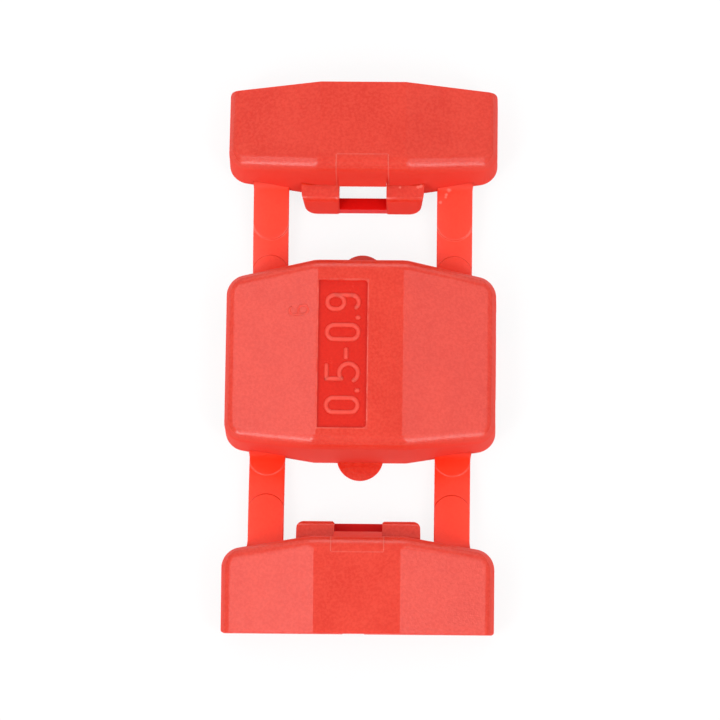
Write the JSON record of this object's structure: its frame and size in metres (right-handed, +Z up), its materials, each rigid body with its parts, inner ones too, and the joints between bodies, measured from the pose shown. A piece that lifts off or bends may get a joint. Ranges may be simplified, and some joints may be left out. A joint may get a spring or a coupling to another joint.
{
  "type": "two-lid wire tap connector",
  "caption": "Moulded wire tap connector lying open: a tray with a slotted contact, and two snap lids on flexible straps.",
  "frame": {"origin": "middle of the base on its parting plane, which is the plane the open connector rests on", "axes": "+Z up out of the base's outer face, +X along the wires, +Y towards the upper lid"},
  "size_m": [0.025, 0.052, 0.0072],
  "materials": {
    "red_nylon": "semi-gloss moulded nylon with a fine grain",
    "tinned_contact": "tin-plated sheet, satin"
  },
  "bodies": {
    "base": {"base": "red_nylon", "contact": "tinned_contact", "upper_left_strap": "red_nylon", "upper_right_strap": "red_nylon", "lower_left_strap": "red_nylon", "lower_right_strap": "red_nylon"},
    "upper_lid": {"upper_lid": "red_nylon", "upper_latch_loop": "red_nylon"},
    "lower_lid": {"lower_lid": "red_nylon", "lower_latch_loop": "red_nylon"}
  },
  "joints": [
    {"name": "upper_lid_fold", "type": "hinge", "parent": "base", "child": "upper_lid", "pos_m": [0, 0.01256, 0.00099], "axis": [-1, 0, 0], "range_deg": [-9.4, 170.5], "deforming": ["upper_left_strap", "upper_right_strap", "upper_latch_loop"]},
    {"name": "lower_lid_fold", "type": "hinge", "parent": "base", "child": "lower_lid", "pos_m": [0, -0.01256, 0.00099], "axis": [1, 0, 0], "range_deg": [-9.4, 170.5], "deforming": ["lower_left_strap", "lower_right_strap", "lower_latch_loop"]}
  ]
}
